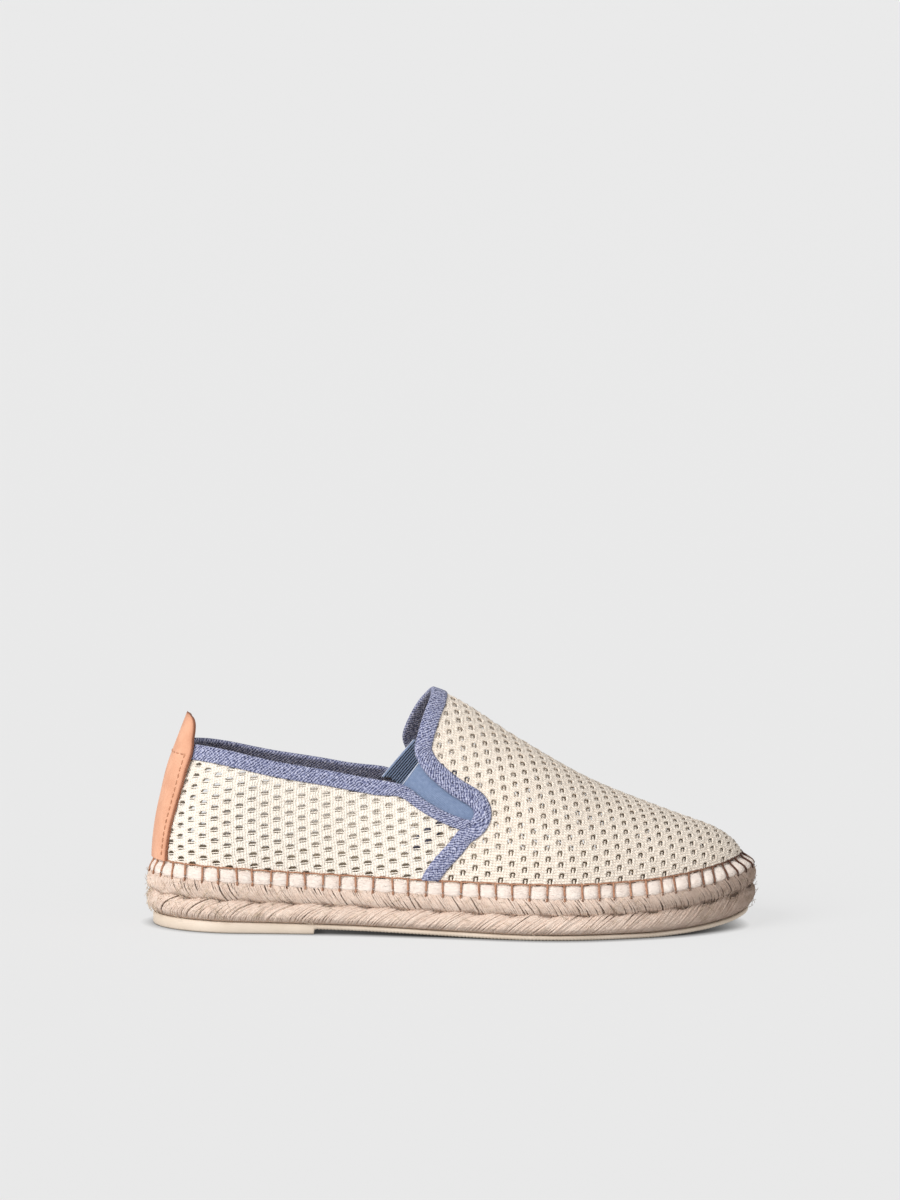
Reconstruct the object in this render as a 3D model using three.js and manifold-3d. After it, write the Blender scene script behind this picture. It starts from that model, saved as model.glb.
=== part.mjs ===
// A slip-on espadrille for the right foot: a net upper with bound edges and two elastic gores, on a braided
// jute sole with a thin rubber outsole. One hollow upper, and the pieces that a maker joins to it.
// Millimetres. The heel is at the low x end, the toe towards +x, up is +z, the outer side of the foot -y.
import * as THREE from 'three';
import { mergeVertices } from 'three/addons/utils/BufferGeometryUtils.js';
import Module from 'manifold-3d';

const wasm = await Module();
wasm.setup();

// Sizes of the sole
const LENGTH = 285; // jute sole from heel to toe
const BALL = 102; // jute sole across the ball of the foot
const SOLE_HEIGHT = 25.4; // top of the jute above the floor, at the ball
const TREAD = 2.2; // rubber sheet under the whole sole
const PAD_RISE = 3; // how far the heel pad lifts that sheet
const PAD_LENGTH = 74; // heel pad, from the back of the jute
const PAD_ROUND = 1.6; // rounding of the heel pad's lower rim
const SHEET_BEVEL = 0.4; // bevel of the sheet's lower rim
const TOE_SPRING = 7; // rise of the sheet's underside at the toe
const RUBBER_INSET = 2.6; // rubber's edge inside the jute's edge
const EDGE_ROUND = 2.4; // how far the jute's lower edge rounds in
const BRAID_JOINT = 0.54; // share of the braids' height at which the two rows meet
const LOBE_PITCH = 17; // one lobe of the braid, along the edge
const LOBE_HEIGHT = 0.45; // how far a lobe stands out
const LOBE_FADE = 6; // how fast the lobes rise from nothing at heel and toe
const BAND_HEIGHT = 6; // cotton band round the top of the jute
const BAND = 1.1; // cotton band's thickness
const BAND_INSET = 0.9; // band's lower edge inside the jute's edge
const BAND_BULGE = 0.3; // how far the band swells between its edges

// Sizes of the upper
const UPPER_INSET = 3; // upper's foot inside the jute's edge, at the shank
const INSTEP = 110; // ridge above the floor at the throat
const TOE_HEIGHT = 48.5; // ridge above the floor where the toe's curve starts
const COLLAR_HEIGHT = 86; // collar above the floor at the back of the heel
const WALL = 1.8; // net and its lining
const TAPE = 0.8; // binding tape's thickness
const COLLAR_TAPE = 6.8; // visible binding of the collar, seen from the side
const VAMP_TAPE = 7.4; // visible binding of the vamp, seen from the side
const GORE = 1.2; // elastic's thickness
const GORE_SEAM = 4; // elastic hidden behind the cloth
const STRIP = 1.4; // heel strip's leather
const STRIP_WIDTH = 35; // heel strip across, seen from behind
const TAB_HEIGHT = 12.5; // free tab above the collar
const TAB_WIDTH = 20; // tab where it leaves the collar
const TAB_LEAN_BACK = 4; // how far the tab's tip stands behind the last's own curve
const TAPER = 18; // height over which the strip narrows to the tab
const LAP = 3; // overlap of the strip's two levels
const INSOLE = 2.6;

// Clearances
const GAP = 0.3; // between pieces that touch
const INSOLE_CLEARANCE = 0.5; // round the insole

// Outline of the jute: share of LENGTH, half width and centre line as shares of BALL
const OUTLINE = [
  { at: 0.0, half: 0.335, centre: 0.0 },
  { at: 0.14, half: 0.34, centre: 0.0 },
  { at: 0.3, half: 0.35, centre: -0.015 },
  { at: 0.45, half: 0.395, centre: -0.035 },
  { at: 0.6, half: 0.475, centre: -0.035 },
  { at: 0.7, half: 0.5, centre: -0.01 },
  { at: 0.82, half: 0.5, centre: 0.035 },
  { at: 1.0, half: 0.48, centre: 0.09 },
];
const HEEL_ROUND = 0.135; // share of LENGTH that the heel's curve takes
const TOE_ROUND = 0.36; // share of LENGTH that the toe's curve takes
const TOE_POWER = 2.1;

// Top of the jute: share of LENGTH, height as a share of SOLE_HEIGHT, upper's inset as a share of UPPER_INSET
const SOLE_TOP = [
  { at: 0.0, height: 1.22, inset: 1.03 },
  { at: 0.12, height: 1.175, inset: 0.93 },
  { at: 0.3, height: 1.075, inset: 0.9 },
  { at: 0.5, height: 1.015, inset: 1.0 },
  { at: 0.65, height: 1.0, inset: 1.07 },
  { at: 0.78, height: 1.03, inset: 1.2 },
  { at: 0.9, height: 1.155, inset: 1.6 },
  { at: 1.0, height: 1.36, inset: 2.2 },
];

// Underside of the rubber sheet: share of LENGTH, lift as shares of PAD_RISE and of TOE_SPRING
const UNDERSIDE = [
  { at: 0.0, pad: 1.1, spring: 0 },
  { at: 0.12, pad: 0.97, spring: 0 },
  { at: 0.27, pad: 0.75, spring: 0 },
  { at: 0.4, pad: 0.45, spring: 0 },
  { at: 0.5, pad: 0.15, spring: 0 },
  { at: 0.6, pad: 0, spring: 0 },
  { at: 0.8, pad: 0, spring: 0 },
  { at: 0.85, pad: 0, spring: 0.08 },
  { at: 0.9, pad: 0, spring: 0.24 },
  { at: 0.95, pad: 0, spring: 0.52 },
  { at: 1.0, pad: 0, spring: 1 },
];

// Ridge line of the upper: share of LENGTH, height from TOE_HEIGHT (0) to INSTEP (1), centre as a share
// of BALL, and the power that makes the arch under it fuller (below 1) or sharper (above 1)
const RIDGE = [
  { at: 0.18, height: 1.13, centre: 0.0, power: 1.09 },
  { at: 0.35, height: 1.11, centre: 0.0, power: 1.03 },
  { at: 0.47, height: 0.985, centre: 0.0, power: 0.98 },
  { at: 0.6, height: 0.63, centre: 0.005, power: 1.02 },
  { at: 0.72, height: 0.318, centre: 0.02, power: 1.12 },
  { at: 0.82, height: 0.125, centre: 0.045, power: 1.22 },
  { at: 0.89, height: 0.0, centre: 0.065, power: 1.32 },
];

// Edge of the jute from its underside up to the band: share of that height, inset as a share of EDGE_ROUND
const BRAIDS = [
  { up: 0.0, inset: 1, lobe: 0 },
  { up: 0.08, inset: 0.375, lobe: 0.6 },
  { up: 0.27, inset: 0, lobe: 1 },
  { up: BRAID_JOINT - 0.09, inset: 0.165, lobe: 0.7 },
  { up: BRAID_JOINT, inset: 0.54, lobe: 0 },
  { up: BRAID_JOINT + 0.09, inset: 0.21, lobe: -0.4 },
  { up: BRAID_JOINT + 0.25, inset: 0.04, lobe: -0.6 },
  { up: 1.0, inset: 0.29, lobe: -0.3 },
];

// Collar's finished edge, seen from the side: share of LENGTH, and height from the mouth of the gore (0)
// to COLLAR_HEIGHT (1)
const COLLAR = [
  { at: -0.1, rise: 1.02 },
  { at: 0.03, rise: 1.01 },
  { at: 0.11, rise: 0.925 },
  { at: 0.2, rise: 0.615 },
  { at: 0.3, rise: 0.35 },
  { at: 0.4, rise: 0 },
];
const GORE_MOUTH = 0.631; // height of the collar's front end, as a share of INSTEP

// Lower edge of the gore, running on from the collar: shares of LENGTH and of INSTEP
const GORE_EDGE = [
  { at: 0.423, height: 0.587 },
  { at: 0.459, height: 0.533 },
  { at: 0.497, height: 0.496 },
  { at: 0.56, height: 0.47 },
];

// Rear edge of the vamp and, past the tip of the gore, of its tape: shares of LENGTH and of INSTEP
const VAMP_EDGE = [
  { at: 0.472, height: 1.18 },
  { at: 0.463, height: 1.06 },
  { at: 0.4535, height: 0.99 },
  { at: 0.439, height: 0.926 },
  { at: 0.425, height: 0.835 },
  { at: 0.4195, height: 0.765 },
  { at: 0.4345, height: 0.69 },
  { at: 0.4565, height: 0.638 },
  { at: 0.48, height: 0.593 },
  { at: 0.506, height: 0.557 },
  { at: 0.5145, height: 0.525 },
  { at: 0.507, height: 0.487 },
  { at: 0.4875, height: 0.45 },
  { at: 0.464, height: 0.36 },
  { at: 0.446, height: 0.32 },
  { at: 0.431, height: 0.26 },
  { at: 0.42, height: 0.18 },
];
const GORE_TOP = { at: 0.4245, height: 0.713 }; // where the elastic's free edge meets the vamp

// Steps of the meshes
const SOLE_STEPS = 56; // stations along each side of the sole
const UPPER_STEPS = 34; // stations along each side of the upper
const ARCH_STEPS = 9; // steps from the sole's edge up to the ridge
const COLLAR_STEPS = 16; // steps of the collar's line
const STRIP_STEPS = 6; // steps of each curve in the heel strip's outline
const VAMP_STEPS = 28; // steps of the vamp's line
const SKIRT = 3; // how far a cutting form runs below the upper's foot
const REACH = 400; // how far a cutting form runs past the shoe

// Colours, roughness
const RUBBER = material(0xd9c8b2, 0.8);
const JUTE = material(0xdcc4a6, 0.95);
const COTTON = material(0xf3e6da, 0.9);
const NET = material(0xf2ead9, 0.92);
const ELASTIC = material(0x7890b8, 0.75);
const TWILL = material(0x7f88b4, 0.9);
const LEATHER = material(0xeeb28e, 0.55);
const LINEN = material(0xe6dac4, 0.95);

function material(color, roughness) {
  return new THREE.MeshStandardMaterial({ color, roughness, metalness: 0 });
}

// One column of a table at a share, by cubics that never swing past the rows
function column(table, name, at) {
  const last = table.length - 1;
  const secant = (i) => (table[i + 1][name] - table[i][name]) / (table[i + 1].at - table[i].at);
  const slope = (i) => {
    if (i === 0) return secant(0);
    if (i === last) return secant(last - 1);
    const before = secant(i - 1);
    const after = secant(i);
    return before * after <= 0 ? 0 : (2 * before * after) / (before + after);
  };
  const x = THREE.MathUtils.clamp(at, table[0].at, table[last].at);
  let i = 0;
  while (i < last - 1 && x > table[i + 1].at) i += 1;
  const span = table[i + 1].at - table[i].at;
  const t = (x - table[i].at) / span;
  const rise = table[i + 1][name] - table[i][name];
  const ease = t * t * (3 - 2 * t);
  const lead = t * (1 - t) * (1 - t) * span * slope(i);
  const trail = t * t * (t - 1) * span * slope(i + 1);
  return table[i][name] + rise * ease + lead + trail;
}

// Heights of the sole's faces at a distance from the heel
const soleTop = (x) => SOLE_HEIGHT * column(SOLE_TOP, 'height', x / LENGTH);

function sheetUnderside(x) {
  const at = x / LENGTH;
  return PAD_RISE * column(UNDERSIDE, 'pad', at) + TOE_SPRING * column(UNDERSIDE, 'spring', at);
}

const juteUnderside = (x) => sheetUnderside(x) + TREAD + GAP;

// Share of the full width at a station: round at the heel, a fuller curve at the toe
function ends(s) {
  const heel = s < HEEL_ROUND ? Math.sqrt(1 - (1 - s / HEEL_ROUND) ** 2) : 1;
  const u = Math.max(0, (s - (1 - TOE_ROUND)) / TOE_ROUND);
  return heel * (1 - u ** TOE_POWER) ** (1 / TOE_POWER);
}

// Point of the plan at a station, set in from the jute's edge. side is -1 on the outer side of the foot
function plan(s, side, insetAt) {
  const x = insetAt(0) + s * (LENGTH - insetAt(1) - insetAt(0));
  const half = BALL * column(OUTLINE, 'half', s) - insetAt(s);
  return new THREE.Vector2(x, BALL * column(OUTLINE, 'centre', s) + side * half * ends(s));
}

const upperInset = (s) => UPPER_INSET * column(SOLE_TOP, 'inset', s);

// Point of the upper's own form, grown by out: theta 0 at the sole, a right angle on the ridge
function lastPoint(s, side, theta, out) {
  const foot = plan(s, side, (t) => upperInset(t) - out);
  const at = THREE.MathUtils.lerp(RIDGE[0].at, RIDGE[RIDGE.length - 1].at, s);
  const top = THREE.MathUtils.lerp(TOE_HEIGHT, INSTEP, column(RIDGE, 'height', at)) + out;
  const power = column(RIDGE, 'power', at);
  const spread = Math.max(0, Math.cos(theta)) ** power;
  const rise = Math.sin(theta) ** power;
  const low = soleTop(foot.x) + GAP;
  return new THREE.Vector3(
    THREE.MathUtils.lerp(at * LENGTH, foot.x, spread),
    THREE.MathUtils.lerp(BALL * column(RIDGE, 'centre', at), foot.y, spread),
    THREE.MathUtils.lerp(low, top, rise),
  );
}

// Closed solid from points and triangles, with doubled points merged and collapsed triangles dropped
function solid(points, triangles) {
  const loose = new THREE.BufferGeometry();
  loose.setAttribute('position', new THREE.Float32BufferAttribute(points.flatMap((p) => p.toArray()), 3));
  loose.setIndex(triangles.flat());
  return solidOf(loose);
}

function solidOf(geometry) {
  geometry.deleteAttribute('normal');
  geometry.deleteAttribute('uv');
  const merged = mergeVertices(geometry, 1e-4);
  const index = merged.index.array;
  const kept = [];
  for (let i = 0; i < index.length; i += 3) {
    const [a, b, c] = [index[i], index[i + 1], index[i + 2]];
    if (a !== b && b !== c && c !== a) kept.push(a, b, c);
  }
  const mesh = new wasm.Mesh({
    numProp: 3,
    vertProperties: new Float32Array(merged.attributes.position.array),
    triVerts: new Uint32Array(kept),
  });
  return new wasm.Manifold(mesh);
}

// Skin over rows of points that all hold as many: rows of a loop are closed, and capped side to side
function loopSolid(rows, closed) {
  const count = rows[0].length;
  const triangles = [];
  const quad = (a, b, c, d) => triangles.push([a, b, c], [a, c, d]);
  const bands = closed ? rows.length : rows.length - 1;
  for (let r = 0; r < bands; r += 1) {
    const low = r * count;
    const high = ((r + 1) % rows.length) * count;
    for (let i = 0; i < count; i += 1) {
      const next = (i + 1) % count;
      quad(low + i, low + next, high + next, high + i);
    }
  }
  if (!closed) {
    const half = count / 2;
    const top = (rows.length - 1) * count;
    const across = (i) => (count - i) % count;
    for (let i = 0; i < half; i += 1) {
      quad(across(i), across(i + 1), i + 1, i);
      quad(top + i, top + i + 1, top + across(i + 1), top + across(i));
    }
  }
  return solid(rows.flat(), triangles);
}

// Stations of the sole, spaced evenly along its edge, with the distance run along each side
const soleStations = (() => {
  const fine = 900;
  const noInset = () => 0;
  const run = [0];
  let before = plan(0, -1, noInset);
  for (let i = 1; i <= fine; i += 1) {
    const here = plan((1 - Math.cos((Math.PI * i) / fine)) / 2, -1, noInset);
    run.push(run[i - 1] + here.distanceTo(before));
    before = here;
  }
  const stations = [];
  for (let k = 0, i = 0; k <= SOLE_STEPS; k += 1) {
    const wanted = (run[fine] * k) / SOLE_STEPS;
    while (i < fine && run[i] < wanted) i += 1;
    stations.push({ s: (1 - Math.cos((Math.PI * i) / fine)) / 2, run: run[i] });
  }
  return stations;
})();

// One loop round the sole: place(s, side, run) gives each point
function soleLoop(place) {
  const outer = soleStations.map(({ s, run }) => place(s, -1, run));
  const inner = soleStations.slice(1, -1).map(({ s, run }) => place(s, 1, -run));
  return [...outer, ...inner.reverse()];
}

function at(flat, z) {
  return new THREE.Vector3(flat.x, flat.y, z);
}

// Rubber sheet with its heel pad
function outsole() {
  const loop = (extra, heightAt) => soleLoop((s, side) => {
    const flat = plan(s, side, () => RUBBER_INSET + extra);
    return at(flat, heightAt(flat.x));
  });
  const top = (x) => sheetUnderside(x) + TREAD;
  const sheet = loopSolid([
    loop(SHEET_BEVEL, sheetUnderside),
    loop(0, (x) => sheetUnderside(x) + SHEET_BEVEL),
    loop(0, top),
  ], false);
  const pad = loopSolid([
    loop(2 * PAD_ROUND, () => 0),
    loop(0.8 * PAD_ROUND, () => 0.35 * PAD_ROUND),
    loop(0, () => PAD_ROUND),
    loop(0, (x) => sheetUnderside(x) + TREAD / 2),
  ], false);
  const front = sidePrism([[-REACH, -REACH], [PAD_LENGTH, -REACH], [PAD_LENGTH, REACH], [-REACH, REACH]]);
  return sheet.add(pad.intersect(front));
}

// Two rows of braid, with slanting lobes that run the other way in the upper row
function juteSole() {
  const bandFoot = (x) => soleTop(x) - BAND_HEIGHT - GAP;
  const rows = BRAIDS.map(({ up, inset, lobe }) => soleLoop((s, side, run) => {
    const wave = Math.cos((2 * Math.PI * run) / LOBE_PITCH + Math.sign(lobe) * up * Math.PI);
    const fade = Math.min(1, LOBE_FADE * s, LOBE_FADE * (1 - s));
    const flat = plan(s, side, () => EDGE_ROUND * inset - Math.abs(lobe) * LOBE_HEIGHT * wave * fade);
    return at(flat, THREE.MathUtils.lerp(juteUnderside(flat.x), bandFoot(flat.x), up));
  }));
  const shoulder = soleLoop((s, side) => {
    const flat = plan(s, side, () => BAND_INSET + BAND + GAP);
    return at(flat, bandFoot(flat.x));
  });
  const rim = soleLoop((s, side) => {
    const flat = plan(s, side, (t) => upperInset(t) + BAND + GAP);
    return at(flat, soleTop(flat.x));
  });
  return loopSolid([...rows, shoulder, rim], false);
}

// Cotton band that covers the edge of the jute's top
function edgeBand() {
  const loop = (insetAt, drop) => soleLoop((s, side) => {
    const flat = plan(s, side, insetAt);
    return at(flat, soleTop(flat.x) - drop);
  });
  const foot = () => BAND_INSET;
  const belly = (s) => THREE.MathUtils.lerp(BAND_INSET, upperInset(s), 0.4) - BAND_BULGE;
  const head = (s) => upperInset(s);
  return loopSolid([
    loop((s) => foot(s) + BAND, BAND_HEIGHT),
    loop(foot, BAND_HEIGHT),
    loop(belly, BAND_HEIGHT / 2),
    loop(head, 0),
    loop((s) => head(s) + BAND, 0),
  ], true);
}

// The same form for the heel strip, whose tab stands up straighter than the last above the collar
function tabPoint(s, side, theta, out) {
  const point = lastPoint(s, side, theta, out);
  point.x -= (TAB_LEAN_BACK * Math.max(0, point.z - COLLAR_HEIGHT) ** 2) / TAB_HEIGHT ** 2;
  return point;
}

// Solid under the upper's form grown by out, with a skirt of the given depth below its foot
function dome(out, skirt, place = lastPoint) {
  const rows = [];
  for (let i = 0; i <= UPPER_STEPS; i += 1) {
    const s = (1 - Math.cos((Math.PI * i) / UPPER_STEPS)) / 2;
    const row = [];
    for (let j = -ARCH_STEPS; j <= ARCH_STEPS; j += 1) {
      const side = j < 0 ? -1 : 1;
      row.push(place(s, side, (Math.PI / 2) * (1 - Math.abs(j) / ARCH_STEPS), out));
    }
    const drop = new THREE.Vector3(0, 0, skirt);
    rows.push([row[0].clone().sub(drop), ...row, row[row.length - 1].clone().sub(drop)]);
  }
  const count = rows[0].length;
  const triangles = [];
  for (let i = 0; i < UPPER_STEPS; i += 1) {
    const near = i * count;
    const far = near + count;
    for (let j = 0; j < count; j += 1) {
      const next = (j + 1) % count;
      triangles.push([near + j, far + j, far + next], [near + j, far + next, near + next]);
    }
  }
  return solid(rows.flat(), triangles);
}

// Wall between two sizes of the form, open underneath, and running on below its foot by the skirt
const shell = (inner, outer, skirt = 0) => dome(outer, skirt).subtract(dome(inner, skirt + SKIRT));

// Form with the side-view outline given as [x, z] pairs, across the whole shoe
function sidePrism(outline) {
  return extruded(outline, (g) => g.rotateX(Math.PI / 2).translate(0, REACH / 2, 0));
}

function extruded(outline, turn) {
  const shape = new THREE.Shape(outline.map(([x, y]) => new THREE.Vector2(x, y)));
  return solidOf(turn(new THREE.ExtrudeGeometry(shape, { depth: REACH, bevelEnabled: false })));
}

const pairs = (points) => points.map((p) => [p.x, p.y]);

// Smooth line through hand-chosen points
function smooth(points, steps) {
  return new THREE.SplineCurve(points).getSpacedPoints(steps);
}

// Line moved sideways, to the right of its direction when distance is positive, with mitred corners
function moved(line, distance) {
  const heading = (i) => line[i + 1].clone().sub(line[i]).normalize();
  return line.map((p, i) => {
    const before = heading(Math.max(0, i - 1));
    const after = heading(Math.min(line.length - 2, i));
    const along = before.clone().add(after).normalize();
    const reach = distance / along.dot(after);
    return new THREE.Vector2(p.x + along.y * reach, p.y - along.x * reach);
  });
}

function edgePoint(row, height) {
  return new THREE.Vector2(row.at * LENGTH, height);
}

// The finished edges, seen from the side. The collar runs forward, so its right is the cloth below it.
// The vamp's edge runs down, so its left is the vamp
const mouthHeight = GORE_MOUTH * INSTEP;
const collarLine = smooth([
  ...COLLAR.map((row) => edgePoint(row, THREE.MathUtils.lerp(mouthHeight, COLLAR_HEIGHT, row.rise))),
  ...GORE_EDGE.map((row) => edgePoint(row, row.height * INSTEP)),
], COLLAR_STEPS);
const vampLine = smooth(VAMP_EDGE.map((row) => edgePoint(row, row.height * INSTEP)), VAMP_STEPS);

// Everything above or below the collar's line, moved down into the cloth
const aboveCollar = (into) => collarSide(into, REACH);
const belowCollar = (into) => collarSide(into, -REACH);

function collarSide(into, height) {
  const line = pairs(moved(collarLine, into));
  return sidePrism([...line, [REACH, line[line.length - 1][1]], [REACH, height], [-REACH, height]]);
}

// Everything behind or ahead of the vamp's line, moved forward into the vamp
const behindVamp = (into) => vampSide(into, -REACH);
const aheadOfVamp = (into) => vampSide(into, REACH);

function vampSide(into, side) {
  const line = pairs(moved(vampLine, -into));
  const foot = line[line.length - 1];
  return sidePrism([[side, REACH], [line[0][0], REACH], ...line, [foot[0], -REACH], [side, -REACH]]);
}

// Strip of cloth between two distances from a line
function alongLine(line, from, to) {
  return sidePrism([...pairs(moved(line, from)), ...pairs(moved(line, to)).reverse()]);
}

// The elastic's free edge parts the space: behind it the bindings turn inside, in front of it the gore lies
function aheadOfGoreMouth(clearance) {
  const foot = new THREE.Vector2(COLLAR[COLLAR.length - 1].at * LENGTH, mouthHeight);
  const head = new THREE.Vector2(GORE_TOP.at * LENGTH, GORE_TOP.height * INSTEP);
  const along = head.clone().sub(foot).normalize();
  const ahead = new THREE.Vector2(along.y, -along.x).multiplyScalar(clearance);
  const low = foot.clone().addScaledVector(along, -REACH).add(ahead);
  const high = head.clone().addScaledVector(along, REACH).add(ahead);
  return sidePrism([[low.x, low.y], [REACH * 2, low.y], [REACH * 2, high.y], [high.x, high.y]]);
}

// Half of the space, on one side of the foot
function oneSide(side) {
  const box = new THREE.BoxGeometry(REACH * 2, REACH, REACH * 2).translate(0, (side * REACH) / 2, 0);
  return solidOf(box);
}

// Hollow upper: net on its lining, open underneath, at the collar and at the two gores
function upper() {
  const edge = TAPE + GAP;
  return shell(-WALL, 0).subtract(aboveCollar(edge).intersect(behindVamp(edge)));
}

// Elastic behind the cloth, with one free edge at the mouth of the notch
function gore(side) {
  const notch = aboveCollar(TAPE + GAP + GORE_SEAM).intersect(behindVamp(TAPE + GAP + GORE_SEAM));
  return shell(-WALL - GAP - GORE, -WALL - GAP)
    .intersect(notch)
    .intersect(aheadOfGoreMouth(0))
    .intersect(oneSide(side));
}

// Binding folded over a cut edge: it lies on both faces of the cloth, and outside only where a gore is behind
function binding(face, cloth) {
  const held = shell(-WALL - GAP, GAP, SKIRT).intersect(cloth);
  const inner = dome(-WALL, SKIRT).intersect(aheadOfGoreMouth(-2 * GAP));
  return shell(-WALL - GAP - TAPE, GAP + TAPE).intersect(face).subtract(inner).subtract(held);
}

function collarBinding() {
  return binding(alongLine(collarLine, 0, COLLAR_TAPE).intersect(behindVamp(-GAP)), belowCollar(TAPE));
}

// Past the gore the vamp's tape runs on down to the sole, flat on the seam of vamp and quarter
function vampBinding() {
  return binding(alongLine(vampLine, 0, -VAMP_TAPE), belowCollar(TAPE).add(aheadOfVamp(TAPE)));
}

// Leather strip up the back of the heel. It lifts over the collar's binding and ends in a free tab
function heelStrip() {
  const tapeFoot = COLLAR_HEIGHT - COLLAR_TAPE;
  const half = STRIP_WIDTH / 2;
  const neck = TAB_WIDTH / 2;
  const tipCentre = COLLAR_HEIGHT + TAB_HEIGHT - neck;
  const outline = new THREE.Shape();
  outline.moveTo(-half, -REACH);
  outline.lineTo(half, -REACH);
  outline.lineTo(half, tapeFoot - TAPER);
  outline.quadraticCurveTo(half, tapeFoot, neck, tipCentre);
  outline.absarc(0, tipCentre, neck, 0, Math.PI);
  outline.quadraticCurveTo(-half, tapeFoot, -half, tapeFoot - TAPER);
  const fromBehind = (g) => g.rotateX(Math.PI / 2).rotateZ(Math.PI / 2).translate(LENGTH / 4 - REACH, 0, 0);
  const face = extruded(pairs(outline.getPoints(STRIP_STEPS)), fromBehind);
  const level = (inner) => dome(inner + STRIP, 0, tabPoint).subtract(dome(inner, SKIRT, tabPoint));
  const flat = level(GAP).subtract(aboveCollar(COLLAR_TAPE + GAP));
  const lifted = level(TAPE + 2 * GAP).intersect(aboveCollar(COLLAR_TAPE + GAP + LAP));
  return flat.add(lifted).intersect(face);
}

// Insole inside the upper
function insole() {
  const loop = (rise) => soleLoop((s, side) => {
    const flat = plan(s, side, () => 0);
    return at(flat, soleTop(flat.x) + rise);
  });
  const slab = loopSolid([loop(-GAP), loop(GAP + INSOLE)], false);
  return dome(-WALL - INSOLE_CLEARANCE, 0).intersect(slab);
}

function mesh(name, manifold, look) {
  const result = manifold.getMesh();
  const geometry = new THREE.BufferGeometry();
  geometry.setAttribute('position', new THREE.BufferAttribute(result.vertProperties, 3));
  geometry.setIndex(new THREE.BufferAttribute(result.triVerts, 1));
  geometry.computeVertexNormals();
  const item = new THREE.Mesh(geometry, look);
  item.name = name;
  return item;
}

const shoe = new THREE.Group();
shoe.add(mesh('outsole', outsole(), RUBBER));
shoe.add(mesh('jute_sole', juteSole(), JUTE));
shoe.add(mesh('edge_band', edgeBand(), COTTON));
shoe.add(mesh('insole', insole(), LINEN));
shoe.add(mesh('upper', upper(), NET));
shoe.add(mesh('gore_outer_side', gore(-1), ELASTIC));
shoe.add(mesh('gore_inner_side', gore(1), ELASTIC));
shoe.add(mesh('collar_binding', collarBinding(), TWILL));
shoe.add(mesh('vamp_binding', vampBinding(), TWILL));
shoe.add(mesh('heel_strip', heelStrip(), LEATHER));

// Origin at the middle of the box round the shoe, on the floor
const box = new THREE.Box3().setFromObject(shoe);
shoe.position.set(-(box.min.x + box.max.x) / 2, -(box.min.y + box.max.y) / 2, -box.min.z);

export default shoe;
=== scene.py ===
"""Looks of an espadrille: net upper, twill bindings, elastic gores, leather heel strip, braided jute sole.

Forms are worked out in millimetres in the part's own lines, heel at x 0 and toe towards +x, and laid down
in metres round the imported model.
"""
import functools
import math

import bmesh
import bpy
import numpy as np
from mathutils import Matrix, Vector


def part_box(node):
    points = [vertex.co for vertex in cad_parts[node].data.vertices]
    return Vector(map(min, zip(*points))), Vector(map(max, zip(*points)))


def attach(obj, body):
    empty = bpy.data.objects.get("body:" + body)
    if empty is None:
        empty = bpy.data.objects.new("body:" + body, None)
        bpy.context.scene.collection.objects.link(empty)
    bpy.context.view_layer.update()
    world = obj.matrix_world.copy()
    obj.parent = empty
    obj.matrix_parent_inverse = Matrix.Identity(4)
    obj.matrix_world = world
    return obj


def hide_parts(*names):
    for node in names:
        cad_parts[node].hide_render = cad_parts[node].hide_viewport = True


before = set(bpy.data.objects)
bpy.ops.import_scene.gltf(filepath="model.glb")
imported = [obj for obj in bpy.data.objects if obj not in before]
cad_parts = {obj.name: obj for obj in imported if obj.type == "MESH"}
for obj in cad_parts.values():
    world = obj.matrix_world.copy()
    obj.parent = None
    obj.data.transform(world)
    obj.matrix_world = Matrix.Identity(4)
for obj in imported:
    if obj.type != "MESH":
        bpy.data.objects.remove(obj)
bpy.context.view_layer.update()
chance = np.random.default_rng(11)

# Sizes of the sole in millimetres, and its shares, as in the part
LENGTH = 285.0
BALL = 102.0
SOLE_HEIGHT = 25.4
TREAD = 2.2
PAD_RISE = 3.0
PAD_LENGTH = 74.0
TOE_SPRING = 7.0
RUBBER_INSET = 2.6
EDGE_ROUND = 2.4
BRAID_JOINT = 0.54
LOBE_PITCH = 17.0
BAND_HEIGHT = 6.0
BAND_INSET = 0.9
HEEL_ROUND = 0.135
TOE_ROUND = 0.36
TOE_POWER = 2.1

# Sizes of the upper, as in the part, but for the narrowed tape
UPPER_INSET = 3.0
INSTEP = 110.0
TOE_HEIGHT = 48.5
COLLAR_HEIGHT = 86.0
WALL = 1.8
TAPE = 0.8
COLLAR_TAPE = 6.8
COLLAR_NARROWED = 0.72  # share of the collar tape's width that shows past the mouths of the gores
VAMP_TAPE = 7.4
GORE = 1.2
GORE_SEAM = 4.0
STRIP = 1.4
INSOLE = 2.6
GAP = 0.3
GORE_MOUTH = 0.631

# Lines of the cut edges: shares of the length, and of the height
COLLAR = [(-0.1, 1.02), (0.03, 1.01), (0.11, 0.925), (0.2, 0.615), (0.3, 0.35), (0.4, 0.0)]
GORE_EDGE = [(0.423, 0.587), (0.459, 0.533), (0.497, 0.496), (0.56, 0.47)]
GORE_TOP = (0.4245, 0.713)
VAMP_EDGE = [
    (0.472, 1.18), (0.463, 1.06), (0.4535, 0.99), (0.439, 0.926), (0.425, 0.835), (0.4195, 0.765),
    (0.4345, 0.69), (0.4565, 0.638), (0.48, 0.593), (0.506, 0.557), (0.5145, 0.525), (0.507, 0.487),
    (0.4875, 0.45), (0.4733, 0.4), (0.4565, 0.352), (0.4425, 0.305), (0.432, 0.26), (0.42, 0.18),
]

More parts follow.
